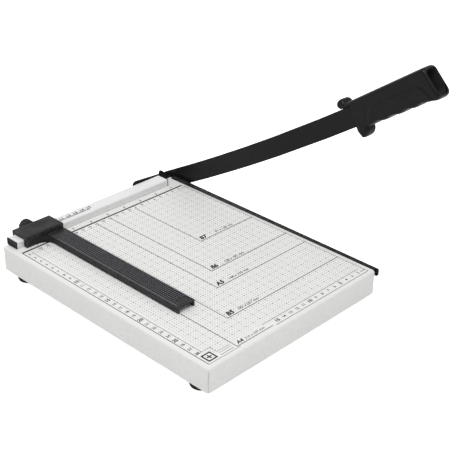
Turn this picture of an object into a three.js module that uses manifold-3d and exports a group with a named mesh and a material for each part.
// Guillotine paper cutter for A4 sheets, with its arm raised and its sliding paper guide near the left.
// Millimetres, +X to the cutting edge, +Y to the back, +Z up. The drawing's zero is where the cutting
// line, the front of the fence and the top of the table meet; the last lines move the finished cutter
// so that its origin is the middle of its bounding box, on the surface that it stands on.
import * as THREE from 'three';
import { mergeVertices } from 'three/addons/utils/BufferGeometryUtils.js';
import Module from 'manifold-3d';

const wasm = await Module();
wasm.setup();

// ---- driving dimensions -------------------------------------------------------------------------
const GAP = 0.3; // between pieces that touch on the real cutter
const HOLE_PLAY = 0.35; // radial room of a fastener in its hole

const TABLE = { left: -255.6, right: 0.2, front: -304, back: 17.5, depth: 28.3, sheet: 1.2, bend: 3, lip: 20 };
const FOOT = { radius: 11.6, drop: 6.3, hole: 1.8, well: 4.4, recess: 3.2 };
const FOOT_INSET = { x: 12, front: 21.5, back: 28.5 };
const RAIL = { left: -247.8, right: -22.2, front: -0.5, back: 17.3, height: 8.5, sheet: 1, lip: 7 };
const RAIL_RIVETS = { places: [-225, -135, -45], inset: 4, shank: 1.6, head: 2.7 };
const PLUG = { flange: 1.2, depth: 7, play: 0.35, recess: 0.6 };
const BAR = { front: -306, back: 14, inner: 0.5, outer: 2.7, top: 1.1, bottom: -7.7 };
const LEDGE = { thickness: 0.8, back: -4.7, front: -1.3 };
const BAR_SCREWS = { places: [-280, -190, -100, -12], z: -5, shank: 1.5, head: 2.6, length: 3.8 };

const PIVOT = { y: 26.5, z: -10 };
const ARM = { inner: 3, thickness: 2.6, rise: 30, root: 11.4, collar: 334, tangEnd: 398 };
const ARM_EDGE = { top: [11.6, -0.0244, 0.000149], cutting: [-10.5, -0.0287, 0.000156] };
const TANG = { low: 1, high: 15 };
const BRACKET = { left: -62, right: -1.8, sheet: 2.2, bottom: -24 };
const BRACKET_BOLTS = { places: [-50, -24], shank: 2.5, head: 4.8, length: 13, acrossFlats: 8, nut: 4 };
const STACK = { bolt: 3, bush: 6.6, washer: 7.5, sheet: 1.2, acrossFlats: 10, head: 4, nut: 4.8 };
const SPRING = { coil: 5.2, wire: 0.75, coils: 4, length: 8 };

const HANDLE = { left: -0.9, right: 21.2, round: 5, hollow: 27, wall: 2.8, cavityLow: 3.4, cavityHigh: 30.6 };
const GRIP_TOP = [326, 24.2];
const GRIP_END = { high: [431.3, 27.7], low: [437.2, 5.5], radius: 6, lean: 14.4, reach: 444.7 };
const GRIP_UNDER = { from: [350, -5.8], to: [431, 0.3], grooves: 4, deep: 1.3 };
const GUARD = { left: -0.6, right: 17, round: 5 };
const GUARD_LOBES = { upper: [320.6, 23.8], upperRadius: 5.8, lower: [335.5, -6.5], lowerRadius: 9.5 };
const HANDLE_SCREWS = { places: [352, 384], shank: 2, hole: 2.4, head: 3.6, well: 4, seat: 17, length: 15 };

const GUIDE = { left: -239.2, right: -188.6, front: -6.3, back: 20.2, top: 13.2 };
const GUIDE_ARM = { left: -211.6, right: -188.6, end: -217.6, top: 7.6, wall: 2, clear: 0.4 };
const CLAMP = { x: -214.5, z: 5.3, stud: 2.5, padRadius: 2.1, pad: 0.9 };
const KNOB = { radius: 8.5, start: 21.6, end: 32.2, ribs: 18 };

// ---- materials ----------------------------------------------------------------------------------
const paint = (color, roughness, metalness = 0) => (
  new THREE.MeshStandardMaterial({ color, roughness, metalness })
);
const WHITE_ENAMEL = paint(0xeeeeec, 0.45);
const BLACK_PAINT = paint(0x19191b, 0.5, 0.3);
const BLACK_PLASTIC = paint(0x1b1b1d, 0.55);
const GUIDE_PLASTIC = paint(0x2a2a2d, 0.5);
const RUBBER = paint(0x141414, 0.85);
const ZINC = paint(0xb4b6b8, 0.35, 0.9);
const BLACK_OXIDE = paint(0x232325, 0.45, 0.7);

// ---- making and placing geometry ----------------------------------------------------------------
const ALONG_X = new THREE.Matrix4().set(0, 0, 1, 0, 1, 0, 0, 0, 0, 1, 0, 0, 0, 0, 0, 1);
const ALONG_Y = new THREE.Matrix4().set(1, 0, 0, 0, 0, 0, -1, 0, 0, 1, 0, 0, 0, 0, 0, 1);
const ALONG_Z = new THREE.Matrix4();

// A Shape drawn in (Y, Z), (X, Z) or (X, Y) becomes a plate from one place to another along the third axis.
function plate(shape, direction, from, to, options = {}) {
  const geometry = new THREE.ExtrudeGeometry(shape, {
    depth: to - from, bevelEnabled: false, curveSegments: 8, ...options,
  });
  geometry.applyMatrix4(direction);
  if (direction === ALONG_X) return geometry.translate(from, 0, 0);
  if (direction === ALONG_Y) return geometry.translate(0, to, 0);
  return geometry.translate(0, 0, from);
}

function box(x0, x1, y0, y1, z0, z1) {
  return new THREE.BoxGeometry(x1 - x0, y1 - y0, z1 - z0)
    .translate((x0 + x1) / 2, (y0 + y1) / 2, (z0 + z1) / 2);
}

// A profile of [radius, height] points is turned about +Z.
function turned(profile, segments = 24) {
  const points = profile.map(([radius, height]) => new THREE.Vector2(radius, height));
  return new THREE.LatheGeometry(points, segments).rotateX(Math.PI / 2);
}

function rod(radius, from, to, segments = 24) {
  return new THREE.CylinderGeometry(radius, radius, to - from, segments)
    .rotateX(Math.PI / 2).translate(0, 0, (from + to) / 2);
}

const towardX = (geometry) => geometry.rotateY(Math.PI / 2);
const towardY = (geometry) => geometry.rotateX(-Math.PI / 2);

function polygon(points) {
  return new THREE.Shape(points.map(([a, b]) => new THREE.Vector2(a, b)));
}

function roundedRectangle(a0, a1, b0, b1, radius) {
  const shape = new THREE.Shape();
  shape.moveTo(a0 + radius, b0);
  shape.lineTo(a1 - radius, b0);
  shape.absarc(a1 - radius, b0 + radius, radius, -Math.PI / 2, 0);
  shape.lineTo(a1, b1 - radius);
  shape.absarc(a1 - radius, b1 - radius, radius, 0, Math.PI / 2);
  shape.lineTo(a0 + radius, b1);
  shape.absarc(a0 + radius, b1 - radius, radius, Math.PI / 2, Math.PI);
  shape.lineTo(a0, b0 + radius);
  shape.absarc(a0 + radius, b0 + radius, radius, Math.PI, 1.5 * Math.PI);
  return shape;
}

// ---- cutting and joining ------------------------------------------------------------------------
function solid(geometry) {
  const bare = geometry.clone();
  bare.deleteAttribute('normal');
  bare.deleteAttribute('uv');
  const merged = mergeVertices(bare, 1e-4);
  const index = merged.index.array;
  const triangles = [];
  for (let i = 0; i < index.length; i += 3) {
    const [a, b, c] = [index[i], index[i + 1], index[i + 2]];
    if (a !== b && b !== c && c !== a) triangles.push(a, b, c);
  }
  return new wasm.Manifold(new wasm.Mesh({
    numProp: 3,
    vertProperties: new Float32Array(merged.attributes.position.array),
    triVerts: new Uint32Array(triangles),
  }));
}

function geometryOf(manifold) {
  const mesh = manifold.getMesh();
  const geometry = new THREE.BufferGeometry();
  geometry.setAttribute('position', new THREE.BufferAttribute(new Float32Array(mesh.vertProperties), 3));
  geometry.setIndex(new THREE.BufferAttribute(new Uint32Array(mesh.triVerts), 1));
  const flat = geometry.toNonIndexed();
  flat.computeVertexNormals();
  return flat;
}

function combine(base, { join = [], cut = [] }) {
  let result = solid(base);
  for (const piece of join) result = result.add(solid(piece));
  for (const piece of cut) result = result.subtract(solid(piece));
  return geometryOf(result);
}

const cutter = new THREE.Group();

function add(name, geometry, material, parent = cutter) {
  const mesh = new THREE.Mesh(geometry, material);
  mesh.name = name;
  parent.add(mesh);
  return mesh;
}

// ---- fasteners ----------------------------------------------------------------------------------
// Domed head above z = 0, shank below it.
function panScrew(head, height, shank, length) {
  return turned([
    [0, -length], [shank, -length], [shank, 0], [head, 0], [head, height * 0.45],
    [head * 0.72, height * 0.9], [0, height],
  ], 16);
}

function hexagon(acrossFlats) {
  const corner = acrossFlats / Math.sqrt(3);
  return polygon(Array.from({ length: 6 }, (_, i) => {
    const angle = (i * Math.PI) / 3;
    return [corner * Math.cos(angle), corner * Math.sin(angle)];
  }));
}

function hexNut(acrossFlats, bore, from, to) {
  const shape = hexagon(acrossFlats);
  shape.holes.push(new THREE.Path().absarc(0, 0, bore, 0, 2 * Math.PI, true));
  return plate(shape, ALONG_Z, from, to);
}

function washer(outer, bore, from, to) {
  return turned([[bore, from], [outer, from], [outer, to], [bore, to], [bore, from]]);
}

// ---- the table: a folded steel tray with its feet -----------------------------------------------
const rivetLine = RAIL.front + RAIL_RIVETS.inset;
const rivetHole = (x) => rod(RAIL_RIVETS.shank + HOLE_PLAY, -4, 4, 16).translate(x, rivetLine, 0);

const footPlaces = {
  front_left: [TABLE.left + FOOT_INSET.x, TABLE.front + FOOT_INSET.front],
  front_right: [TABLE.right - FOOT_INSET.x, TABLE.front + FOOT_INSET.front],
  back_left: [TABLE.left + FOOT_INSET.x, TABLE.back - FOOT_INSET.back],
  back_right: [TABLE.right - FOOT_INSET.x, TABLE.back - FOOT_INSET.back],
};

const footHole = ([x, y]) => rod(FOOT.hole + HOLE_PLAY, -5, 5).translate(x, y, -TABLE.depth);

function bladeScrewHole(y) {
  return towardX(rod(BAR_SCREWS.shank + HOLE_PLAY, -6, 6, 16)).translate(0, y, BAR_SCREWS.z);
}

function bracketBoltHole(x) {
  return towardY(rod(BRACKET_BOLTS.shank + HOLE_PLAY, -8, 8)).translate(x, 0, PIVOT.z);
}

function trayBlock(inset, top, bottom, round) {
  const shape = roundedRectangle(TABLE.left + inset + round, TABLE.right - inset - round,
    TABLE.front + inset + round, TABLE.back - inset - round, 0.6);
  return plate(shape, ALONG_Z, bottom, top - round, {
    bevelEnabled: true, bevelSize: round, bevelThickness: round, bevelSegments: 3, curveSegments: 2,
  });
}

function baseTray() {
  const { left, right, front, back, depth, sheet, bend, lip } = TABLE;
  const floor = -depth;
  const mouth = box(left + lip, right - lip, front + lip, back - lip, floor - 9, floor + 5);
  const below = box(left - 9, right + 9, front - 9, back + 9, floor - 20, floor);
  const shell = combine(trayBlock(0, 0, floor - 5, bend), { cut: [below] });
  const room = combine(trayBlock(sheet, -sheet, floor - 5, bend - sheet), {
    cut: [box(left - 9, right + 9, front - 9, back + 9, floor - 20, floor + sheet)],
  });
  const holes = [
    ...BAR_SCREWS.places.map((y) => bladeScrewHole(y).translate(right, 0, 0)),
    ...BRACKET_BOLTS.places.map((x) => bracketBoltHole(x).translate(0, back, 0)),
    ...RAIL_RIVETS.places.map(rivetHole),
    ...Object.values(footPlaces).map(footHole),
  ];
  return combine(shell, { cut: [room, mouth, ...holes] });
}

function foot() {
  const { radius, drop, hole, well, recess } = FOOT;
  const bore = hole + HOLE_PLAY;
  return turned([
    [bore, 0], [bore, -drop + recess], [well, -drop + recess], [well, -drop],
    [radius * 0.85, -drop], [radius * 0.96, -drop * 0.82], [radius, -drop * 0.5], [radius, 0], [bore, 0],
  ], 28);
}

// ---- the fence: a channel along the back of the table, with a plug in each end ------------------
function fenceRail() {
  const { left, right, front, back, height, sheet, lip } = RAIL;
  const section = polygon([
    [front, GAP], [front + lip, GAP], [front + lip, GAP + sheet], [front + sheet, GAP + sheet],
    [front + sheet, height - sheet], [back - sheet, height - sheet], [back - sheet, GAP + sheet],
    [back - lip, GAP + sheet], [back - lip, GAP], [back, GAP], [back, height - 1], [back - 1, height],
    [front + 1, height], [front, height - 1],
  ]);
  return combine(plate(section, ALONG_X, left, right), {
    cut: RAIL_RIVETS.places.map(rivetHole),
  });
}

// Flange and body toward +X; the right-hand plug is turned about Z.
function railPlug() {
  const { front, back, height, sheet } = RAIL;
  const halfSpan = (back - front) / 2;
  const inside = halfSpan - sheet - PLUG.play;
  const bodyLow = GAP + sheet + PLUG.play;
  const bodyHigh = height - sheet - PLUG.play;
  const flange = box(-PLUG.flange, 0, -halfSpan, halfSpan, GAP, height);
  const body = box(-PLUG.flange / 2, PLUG.depth, -inside, inside, bodyLow, bodyHigh);
  const dish = box(-9, -PLUG.flange + PLUG.recess, 2 - halfSpan, halfSpan - 2, bodyLow, bodyHigh);
  return combine(flange, { join: [body], cut: [dish] });
}

function rivet() {
  const { shank, head } = RAIL_RIVETS;
  return turned([
    [0, -3.2], [head - 0.4, -3.2], [head, -2], [head, -1.5], [shank, -1.5], [shank, 1.6], [head, 1.6],
    [head - 0.5, 2.5], [0, 2.9],
  ], 14);
}

// ---- the fixed blade, screwed to the right wall of the tray --------------------------------------
function fixedBlade() {
  const { front, back, inner, outer, top, bottom } = BAR;
  const bar = plate(polygon([
    [front, bottom + 1.5], [front + 1.5, bottom], [back, bottom],
    [back, top], [front + 1, top], [front, top - 1],
  ]), ALONG_X, inner, outer);
  const ledgePlan = polygon([
    [inner + 0.5, front + 1], [inner + 0.5, back - 2], [LEDGE.back, back - 2],
    [LEDGE.front, front + 5], [inner, front + 1],
  ]);
  return combine(bar, {
    join: [plate(ledgePlan, ALONG_Z, top - LEDGE.thickness, top)],
    cut: BAR_SCREWS.places.map((y) => bladeScrewHole(y).translate(inner, 0, 0)),
  });
}

// ---- the cutting arm ----------------------------------------------------------------------------
// Along the arm is u, from the pivot toward the handle, and across it is w: the arm's own group has
// -Y along u and +Z along w, and turns about X to lift the arm.
const edgeAt = ([a, b, c], u) => a + b * u + c * u * u;
const tangLine = (u) => 9 + (u - 340) * 0.06;

function edgePoints(edge, from, to, steps) {
  return Array.from({ length: steps + 1 }, (_, i) => {
    const u = from + ((to - from) * i) / steps;
    return [-u, edgeAt(edge, u)];
  });
}

function cuttingArm() {
  const { inner, thickness, root, collar, tangEnd } = ARM;
  const rootArc = Array.from({ length: 13 }, (_, i) => {
    const angle = -Math.PI / 2 + (Math.PI * i) / 12;
    return [root * Math.cos(angle), root * Math.sin(angle)];
  });
  const outline = [
    ...edgePoints(ARM_EDGE.cutting, collar, 30, 12),
    ...rootArc,
    ...edgePoints(ARM_EDGE.top, 30, collar, 12),
    [-collar, TANG.high + 2], [-tangEnd, TANG.high + 5], [-tangEnd, TANG.low + 5], [-collar, TANG.low - 1],
  ];
  const screwHole = (u) => towardX(rod(HANDLE_SCREWS.hole, 0, 9, 16)).translate(0, -u, tangLine(u));
  return combine(plate(polygon(outline), ALONG_X, inner, inner + thickness), {
    cut: [towardX(rod(STACK.bolt + 0.4, 0, 9)), ...HANDLE_SCREWS.places.map(screwHole)],
  });
}

// ---- the moulded handle -------------------------------------------------------------------------
// Outlines here are lists of [u, w]; the guard stands out above and below the grip, in front of the fingers.
const sideView = (points) => polygon(points.map(([u, w]) => [-u, w]));

function arc([u, w], radius, fromDegrees, toDegrees, steps) {
  return Array.from({ length: steps + 1 }, (_, i) => {
    const angle = THREE.MathUtils.degToRad(fromDegrees + ((toDegrees - fromDegrees) * i) / steps);
    return [u + radius * Math.cos(angle), w + radius * Math.sin(angle)];
  });
}

function fingerGrooves() {
  const { from, to, grooves, deep } = GRIP_UNDER;
  const steps = grooves * 6;
  return Array.from({ length: steps + 1 }, (_, i) => {
    const t = i / steps;
    const wave = deep * Math.sin(t * grooves * Math.PI) ** 2;
    return [from[0] + (to[0] - from[0]) * t, from[1] + (to[1] - from[1]) * t + wave];
  });
}

function rounded(points, left, right, round) {
  return plate(sideView(points), ALONG_X, left + round, right - round, {
    bevelEnabled: true,
    bevelSize: round * 0.6,
    bevelOffset: -round * 0.6,
    bevelThickness: round,
    bevelSegments: 3,
  });
}

function gripSolid() {
  const { high, low, radius, lean } = GRIP_END;
  return rounded([
    [GRIP_TOP[0], -4], ...fingerGrooves(),
    ...arc(low, radius, -93, lean, 5), ...arc(high, radius, lean, 95, 5), GRIP_TOP,
  ], HANDLE.left, HANDLE.right, HANDLE.round);
}

function guardSolid() {
  const { upper, upperRadius, lower, lowerRadius } = GUARD_LOBES;
  return rounded([
    ...arc(lower, lowerRadius, 165, 375, 12), [346, 6], [338, 20],
    ...arc(upper, upperRadius, 10, 205, 9), [323, 14.5], [326.5, 9], [326.4, 2],
  ], GUARD.left, GUARD.right, GUARD.round);
}

function handle() {
  const { left, right, hollow, wall, cavityLow, cavityHigh } = HANDLE;
  const armInner = ARM.inner - GAP;
  const armOuter = ARM.inner + ARM.thickness + GAP;
  const shoulder = ARM.collar + GAP;
  const aboveArm = edgePoints(ARM_EDGE.top, 300, shoulder, 5).map(([y, z]) => [y, z + GAP]);
  const neck = plate(polygon([[-300, -30], ...aboveArm, [-shoulder, -30]]), ALONG_X, left - 9, armOuter);
  const tangEnd = ARM.tangEnd + GAP;
  const tangSlot = plate(sideView([
    [shoulder - 2, TANG.low - 1 - GAP], [shoulder - 2, TANG.high + 2 + GAP],
    [tangEnd, TANG.high + 5 + GAP], [tangEnd, TANG.low + 5 - GAP],
  ]), ALONG_X, armInner, armOuter);
  const cavity = roundedRectangle(left + wall, right - wall, cavityLow, cavityHigh, 6);
  const end = -GRIP_END.reach;
  const screwWells = HANDLE_SCREWS.places.flatMap((u) => {
    const { hole, well, seat } = HANDLE_SCREWS;
    return [
      towardX(rod(well, seat, right + 5, 20)).translate(0, -u, tangLine(u)),
      towardX(rod(hole, 0.2, right, 16)).translate(0, -u, tangLine(u)),
    ];
  });
  return combine(gripSolid(), {
    join: [guardSolid()],
    cut: [tangSlot, neck, plate(cavity, ALONG_Y, end - 9, end + hollow), ...screwWells],
  });
}

// ---- the pivot: a bent bracket behind the tray, and a sprung bolt through the arm ---------------
function pivotBracket() {
  const { left, right, sheet, bottom } = BRACKET;
  const face = TABLE.back + GAP;
  const flange = new THREE.Shape();
  flange.moveTo(left, bottom);
  flange.lineTo(right, bottom);
  flange.lineTo(right, 0.5);
  flange.lineTo(-14, 11.8);
  flange.quadraticCurveTo(-15.5, 13, -17.8, 12);
  flange.lineTo(-18.2, 8.4);
  flange.lineTo(left + 6, 11.5);
  flange.quadraticCurveTo(left, 11.5, left, 5);
  flange.closePath();
  const ear = new THREE.Shape();
  ear.moveTo(face, bottom);
  ear.lineTo(PIVOT.y, bottom);
  ear.absarc(PIVOT.y, PIVOT.z, 11, -Math.PI / 2, Math.PI / 2);
  ear.lineTo(face, PIVOT.z + 11);
  ear.closePath();
  return combine(plate(flange, ALONG_Y, face, face + sheet), {
    join: [plate(ear, ALONG_X, right - sheet, right)],
    cut: [
      towardX(rod(STACK.bolt + HOLE_PLAY, -9, 3)).translate(0, PIVOT.y, PIVOT.z),
      ...BRACKET_BOLTS.places.map((x) => bracketBoltHole(x).translate(0, face, 0)),
    ],
  });
}

class Helix extends THREE.Curve {
  constructor(radius, from, to, turns) {
    super();
    Object.assign(this, { radius, from, to, turns });
  }

  getPoint(t, target = new THREE.Vector3()) {
    const angle = 2 * Math.PI * this.turns * t;
    const along = this.from + (this.to - this.from) * t;
    return target.set(along, this.radius * Math.cos(angle), this.radius * Math.sin(angle));
  }
}

function coilSpring({ coil, wire, coils }, from, to) {
  const section = polygon(Array.from({ length: 6 }, (_, i) => {
    const angle = (i * Math.PI) / 3;
    return [wire * Math.cos(angle), wire * Math.sin(angle)];
  }));
  return new THREE.ExtrudeGeometry(section, {
    steps: 14 * coils, extrudePath: new Helix(coil, from + wire, to - wire, coils), bevelEnabled: false,
  });
}

// ---- the sliding paper guide and its clamp -------------------------------------------------------
function paperGuide() {
  const { left, right, front, back, top } = GUIDE;
  const { wall, clear } = GUIDE_ARM;
  const head = plate(roundedRectangle(front, back, -4, top, 1.2), ALONG_X, left, right, { curveSegments: 2 });
  const armOuter = box(GUIDE_ARM.left, GUIDE_ARM.right, GUIDE_ARM.end, front + 1, clear, GUIDE_ARM.top);
  const gusset = new THREE.Shape();
  gusset.moveTo(-229, front + 0.5);
  gusset.quadraticCurveTo(-213.5, front, GUIDE_ARM.left, -18);
  gusset.lineTo(GUIDE_ARM.left + 1, -18);
  gusset.lineTo(GUIDE_ARM.left + 1, front + 0.5);
  gusset.closePath();
  const channelTop = GUIDE_ARM.top - wall;
  const channel = box(
    GUIDE_ARM.left + wall, GUIDE_ARM.right - wall, GUIDE_ARM.end - 5, front - 4, -3, channelTop,
  );
  const railRoom = box(left - 5, right + 5, RAIL.front - 0.6, TABLE.back + 0.5, -9, RAIL.height + 0.5);
  const underFront = box(left - 5, right + 5, front - 5, RAIL.front + 1, -9, clear + 0.2);
  const studHole = towardY(rod(CLAMP.stud + HOLE_PLAY, 0, 40)).translate(CLAMP.x, 0, CLAMP.z);
  return combine(head, {
    join: [armOuter, plate(gusset, ALONG_Z, clear + 0.2, GUIDE_ARM.top - 0.4)],
    cut: [railRoom, underFront, channel, studHole],
  });
}

function clampKnob() {
  const { radius, start, end, ribs } = KNOB;
  const steps = ribs * 4;
  const outline = polygon(Array.from({ length: steps }, (_, i) => {
    const reach = radius - 0.45 * (1 - Math.cos((2 * Math.PI * ribs * i) / steps));
    const angle = (2 * Math.PI * i) / steps;
    return [reach * Math.cos(angle), reach * Math.sin(angle)];
  }));
  const grip = plate(outline, ALONG_Z, start + 1, end - 1, {
    bevelEnabled: true, bevelSize: 0.8, bevelOffset: -0.8, bevelThickness: 1, bevelSegments: 2,
  });
  return combine(grip, { cut: [rod(CLAMP.stud + GAP, start - 2, end - 3)] });
}

// ---- assembly: what stays with the table ---------------------------------------------------------
const floor = -TABLE.depth;
add('base_tray', baseTray(), WHITE_ENAMEL);
for (const [place, [x, y]] of Object.entries(footPlaces)) {
  add(`foot_${place}`, foot(), RUBBER).position.set(x, y, floor - GAP / 3);
  const screw = add(`foot_screw_${place}`, panScrew(3.6, 2, FOOT.hole, 8).rotateX(Math.PI), ZINC);
  screw.position.set(x, y, floor - FOOT.drop + FOOT.recess - 0.4);
}

add('fence_rail', fenceRail(), WHITE_ENAMEL);
const railMiddle = (RAIL.front + RAIL.back) / 2;
add('rail_plug_left', railPlug(), BLACK_PLASTIC).position.set(RAIL.left - 0.05, railMiddle, 0);
const rightPlug = add('rail_plug_right', railPlug(), BLACK_PLASTIC);
rightPlug.position.set(RAIL.right + 0.05, railMiddle, 0);
rightPlug.rotation.z = Math.PI;
RAIL_RIVETS.places.forEach((x, i) => {
  add(`rail_rivet_${i + 1}`, rivet(), ZINC).position.set(x, rivetLine, 0);
});

add('fixed_blade', fixedBlade(), BLACK_PAINT);
BAR_SCREWS.places.forEach((y, i) => {
  const { head, shank, length, z } = BAR_SCREWS;
  const screw = add(`fixed_blade_screw_${i + 1}`, panScrew(head, 1.6, shank, length), ZINC);
  screw.rotation.y = -Math.PI / 2;
  screw.position.set(TABLE.right - TABLE.sheet - GAP, y, z);
});

add('pivot_bracket', pivotBracket(), BLACK_PAINT);
const bracketBack = TABLE.back + GAP + BRACKET.sheet;
BRACKET_BOLTS.places.forEach((x, i) => {
  const { shank, head, length, acrossFlats, nut: thick } = BRACKET_BOLTS;
  const bolt = add(`bracket_bolt_${i + 1}`, panScrew(head, 3.2, shank, length), BLACK_OXIDE);
  bolt.rotation.x = -Math.PI / 2;
  bolt.position.set(x, bracketBack + GAP, PIVOT.z);
  const nut = add(`bracket_nut_${i + 1}`, hexNut(acrossFlats, shank + HOLE_PLAY, -thick, 0), ZINC);
  nut.rotation.x = -Math.PI / 2;
  nut.position.set(x, TABLE.back - TABLE.sheet - GAP, PIVOT.z);
});

// ---- assembly: the pivot stack, from the tray's side outward along +X ----------------------------
const pivot = new THREE.Group();
pivot.position.set(0, PIVOT.y, PIVOT.z);
cutter.add(pivot);
const earInner = BRACKET.right - BRACKET.sheet;
const armOuterFace = ARM.inner + ARM.thickness;
const springStart = armOuterFace + STACK.sheet + 2 * GAP;
const springEnd = springStart + SPRING.length;
const nutStart = springEnd + STACK.sheet + 2 * GAP;
const bore = STACK.bolt + HOLE_PLAY;
const stackWasher = (from) => towardX(washer(STACK.washer, bore, from, from + STACK.sheet));
const boltHead = plate(hexagon(STACK.acrossFlats), ALONG_Z, earInner - GAP - STACK.head, earInner - GAP);
const boltShank = rod(STACK.bolt, earInner - GAP - 2, nutStart + STACK.nut + 2);
add('pivot_bolt', towardX(combine(boltHead, { join: [boltShank] })), ZINC, pivot);
add('pivot_bush', towardX(washer(STACK.bush, bore, BRACKET.right + GAP, ARM.inner - GAP)), ZINC, pivot);
add('pivot_washer_inner', stackWasher(armOuterFace + GAP), ZINC, pivot);
add('pivot_spring', coilSpring(SPRING, springStart, springEnd), ZINC, pivot);
add('pivot_washer_outer', stackWasher(springEnd + GAP), ZINC, pivot);
add('pivot_lock_nut', towardX(hexNut(STACK.acrossFlats, bore, nutStart, nutStart + STACK.nut)), ZINC, pivot);

// ---- assembly: the arm, lifted --------------------------------------------------------------------
const arm = new THREE.Group();
arm.position.set(0, PIVOT.y, PIVOT.z);
arm.rotation.x = -THREE.MathUtils.degToRad(ARM.rise);
cutter.add(arm);
add('cutting_arm', cuttingArm(), BLACK_PAINT, arm);
add('handle', handle(), BLACK_PLASTIC, arm);
HANDLE_SCREWS.places.forEach((u, i) => {
  const { shank, head, seat, length } = HANDLE_SCREWS;
  const screw = add(`handle_screw_${i + 1}`, panScrew(head, 2.2, shank, length), ZINC, arm);
  screw.rotation.y = Math.PI / 2;
  screw.position.set(seat + GAP, -u, tangLine(u));
});

// ---- assembly: the paper guide ---------------------------------------------------------------------
add('paper_guide', paperGuide(), GUIDE_PLASTIC);
const clamp = new THREE.Group();
clamp.position.set(CLAMP.x, 0, CLAMP.z);
cutter.add(clamp);
const padFront = RAIL.back + 0.25;
const padBack = padFront + CLAMP.pad;
add('clamp_pad', towardY(rod(CLAMP.padRadius, padFront, padBack, 16)), RUBBER, clamp);
add('clamp_stud', towardY(rod(CLAMP.stud, padBack + GAP, KNOB.end - 3.5, 20)), ZINC, clamp);
add('clamp_knob', towardY(clampKnob()), BLACK_PLASTIC, clamp);

// ---- the origin: middle of the bounding box, on the surface that the feet rest on ----------------
cutter.updateMatrixWorld(true);
const bounds = new THREE.Box3().setFromObject(cutter);
cutter.position.set(-(bounds.min.x + bounds.max.x) / 2, -(bounds.min.y + bounds.max.y) / 2, -bounds.min.z);

export default cutter;
